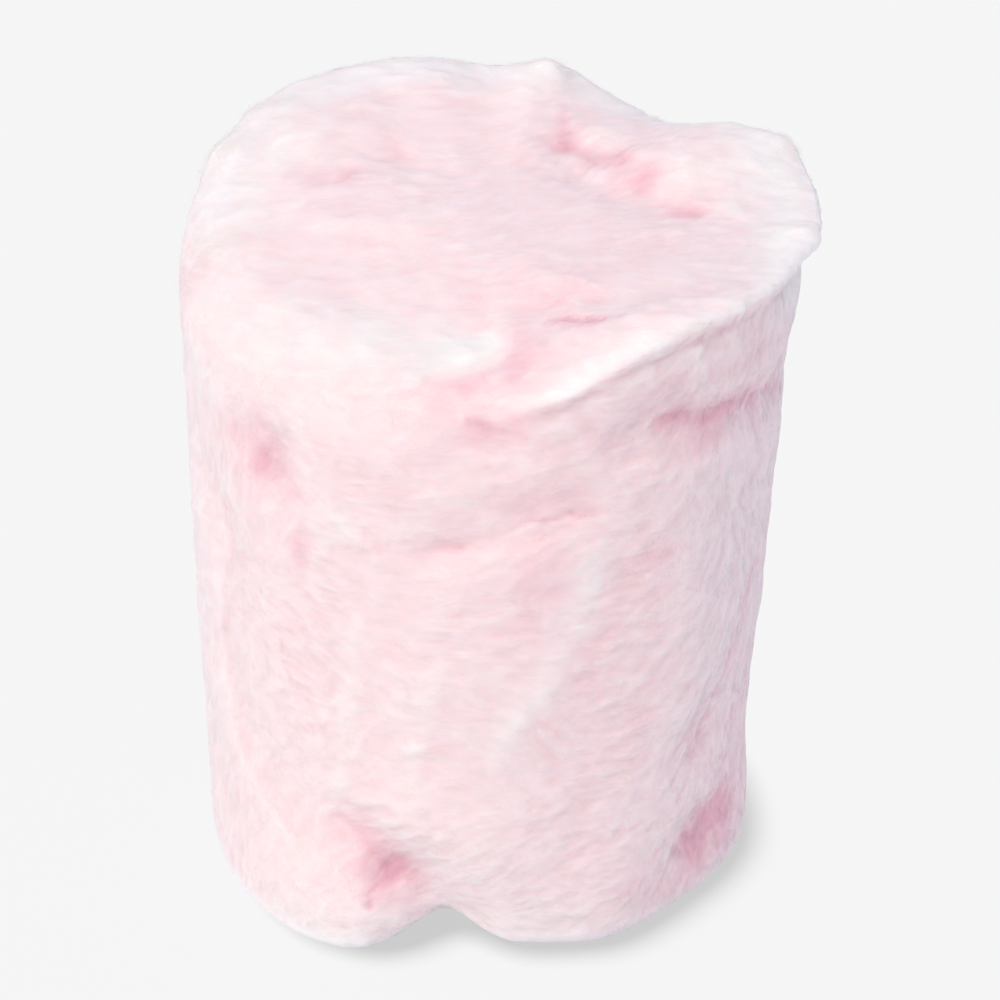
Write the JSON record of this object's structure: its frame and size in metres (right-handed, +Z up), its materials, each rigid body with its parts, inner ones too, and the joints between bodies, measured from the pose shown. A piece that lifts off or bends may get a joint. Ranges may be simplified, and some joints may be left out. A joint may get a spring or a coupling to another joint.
{
  "type": "cotton candy",
  "caption": "Upright block of pale pink cotton candy moulded by a round tub, with a torn fibrous top, a thin lip, folds and a notched foot; a light sweet that stands on its flat base",
  "frame": {"origin": "on the surface the block stands on, under the middle of its bounding box", "axes": "+Z up along the block's height, -Y out of the front with the notch in its foot, +X to the side with the overhanging lip"},
  "size_m": [0.1166, 0.1136, 0.1371],
  "materials": {
    "pink_floss": "matt spun sugar, a felted mat of very fine fibres, pale pink and deeper pink in its folds"
  },
  "bodies": {
    "root": {"cotton_candy": "pink_floss"}
  },
  "joints": []
}
